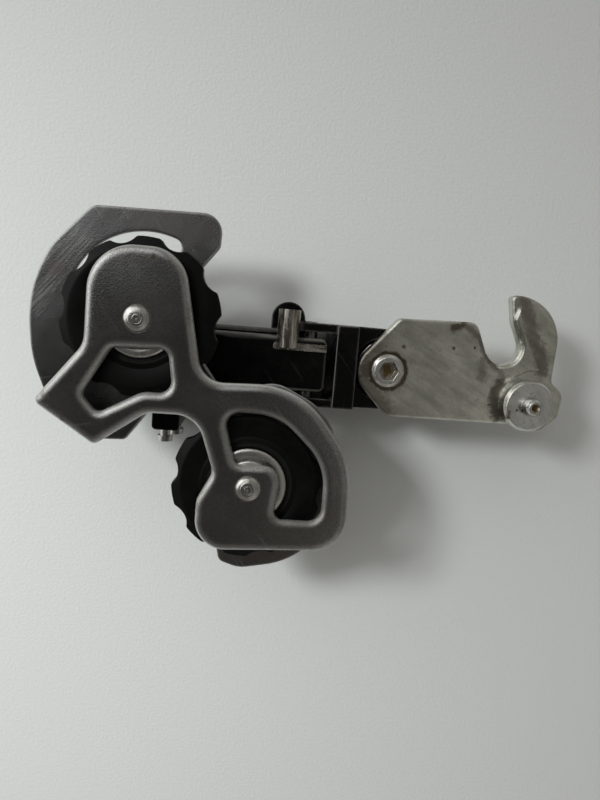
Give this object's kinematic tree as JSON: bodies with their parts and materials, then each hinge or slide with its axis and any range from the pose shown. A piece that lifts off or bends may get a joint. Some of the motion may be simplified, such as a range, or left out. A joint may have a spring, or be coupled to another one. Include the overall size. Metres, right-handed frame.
{
  "type": "rear derailleur",
  "caption": "Bicycle rear derailleur with a bolt-on claw hanger, black parallelogram and pressed steel cage holding toothed pulleys.",
  "frame": {"origin": "on the wheel axle's line, at the claw's inner face", "axes": "+X along the links from the cage towards the claw, +Y square to them in the claw's plane, +Z along the wheel axle towards the wheel; the part lies on its outer side"},
  "size_m": [0.1492, 0.0952, 0.0461],
  "materials": {
    "zinc_plate": "zinc plated, worn and lightly tarnished",
    "black_paint": "black enamel, slightly worn on the bends",
    "cage_steel": "satin plated pressed steel, scratched",
    "bright_steel": "bright plated steel",
    "cap_plate": "plated thin sheet",
    "spring_steel": "dark oiled spring wire",
    "black_plastic": "moulded black plastic"
  },
  "bodies": {
    "hanger": {"claw_plate": "zinc_plate", "hanger_bolt": "zinc_plate", "hanger_washer": "zinc_plate", "dropout_nut": "zinc_plate", "dropout_screw": "zinc_plate"},
    "upper_body": {"upper_knuckle": "black_paint", "upper_inner_pin": "bright_steel", "upper_outer_pin": "bright_steel", "hanger_spring": "spring_steel"},
    "outer_arm": {"outer_link": "black_paint", "cable_clamp_screw": "bright_steel", "cable_clamp_washer": "bright_steel", "cable_clamp_nut": "bright_steel", "return_spring": "spring_steel"},
    "inner_arm": {"inner_link": "black_paint", "cable_trough": "bright_steel"},
    "lower_body": {"lower_knuckle": "black_paint", "lower_inner_pin": "bright_steel", "lower_outer_pin": "bright_steel", "limit_screws": "bright_steel", "cage_spring": "spring_steel"},
    "cage": {"inner_cage_plate": "cage_steel", "outer_cage_plate": "cage_steel", "cage_pivot_tube": "bright_steel", "cage_pivot_screw": "bright_steel", "guide_axle": "bright_steel", "tension_axle": "bright_steel", "guide_bush": "bright_steel", "tension_bush": "bright_steel", "guide_inner_cap": "cap_plate", "guide_outer_cap": "cap_plate", "tension_inner_cap": "cap_plate", "tension_outer_cap": "cap_plate"},
    "guide_wheel": {"guide_pulley": "black_plastic"},
    "tension_wheel": {"tension_pulley": "black_plastic"}
  },
  "joints": [
    {"name": "hanger_pivot", "type": "hinge", "parent": "hanger", "child": "upper_body", "pos_m": [-0.0328, -0.0092, -0.015], "axis": [0, 0, 1], "range_deg": [-30, 20], "stiffness_Nm_per_rad": 1},
    {"name": "outer_link_swing", "type": "hinge", "parent": "upper_body", "child": "outer_arm", "pos_m": [-0.0552, -0.0092, -0.02], "axis": [0, 1, 0], "range_deg": [0, 45], "stiffness_Nm_per_rad": 0.6, "springref_deg": -22.92},
    {"name": "inner_link_swing", "type": "hinge", "parent": "upper_body", "child": "inner_arm", "pos_m": [-0.0552, -0.0092, -0.004], "axis": [0, 1, 0], "range_deg": [0, 45]},
    {"name": "lower_knuckle_level", "type": "hinge", "parent": "outer_arm", "child": "lower_body", "pos_m": [-0.088, -0.0092, -0.02], "axis": [0, 1, 0], "range_deg": [-45, 0]},
    {"name": "cage_pivot", "type": "hinge", "parent": "lower_body", "child": "cage", "pos_m": [-0.1001, 0.0005, 0], "axis": [0, 0, 1], "range_deg": [-110, 0], "stiffness_Nm_per_rad": 0.3, "springref_deg": 28.65},
    {"name": "guide_spin", "type": "hinge", "parent": "cage", "child": "guide_wheel", "pos_m": [-0.1001, 0.0005, 0.01215], "axis": [0, 0, 1], "continuous": true},
    {"name": "tension_spin", "type": "hinge", "parent": "cage", "child": "tension_wheel", "pos_m": [-0.07025, -0.04073, 0.01215], "axis": [0, 0, 1], "continuous": true}
  ],
  "couplings": [
    {"joint": "inner_link_swing", "follows": "outer_link_swing", "ratio": 1},
    {"joint": "lower_knuckle_level", "follows": "outer_link_swing", "ratio": -1}
  ]
}
